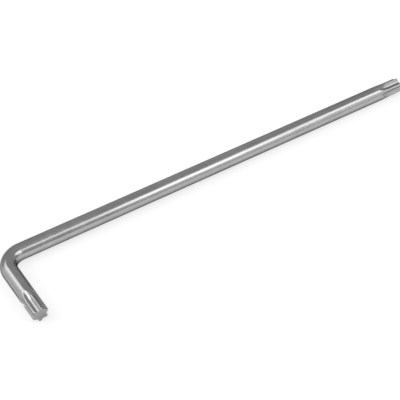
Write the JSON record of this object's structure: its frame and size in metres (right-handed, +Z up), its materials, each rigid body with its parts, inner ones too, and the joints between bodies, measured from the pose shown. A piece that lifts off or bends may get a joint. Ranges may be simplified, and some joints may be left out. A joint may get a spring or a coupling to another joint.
{
  "type": "star key",
  "caption": "L-shaped star key: round steel bar bent near one end, with a star-shaped drive tip formed on each end for turning star-recess screws.",
  "frame": {"origin": "middle of the underside of the key's box, on the surface that the key lies flat on", "axes": "+X along the long arm towards its tip, -Y along the short arm towards its tip, +Z up, square to the plane of the L"},
  "size_m": [0.16, 0.03, 0.0055],
  "materials": {
    "bar_steel": "satin plated steel",
    "star_steel": "satin plated steel, formed"
  },
  "bodies": {
    "root": {"long_arm": "bar_steel", "bend": "bar_steel", "short_arm": "bar_steel", "long_star_tip": "star_steel", "short_star_tip": "star_steel"}
  },
  "joints": []
}
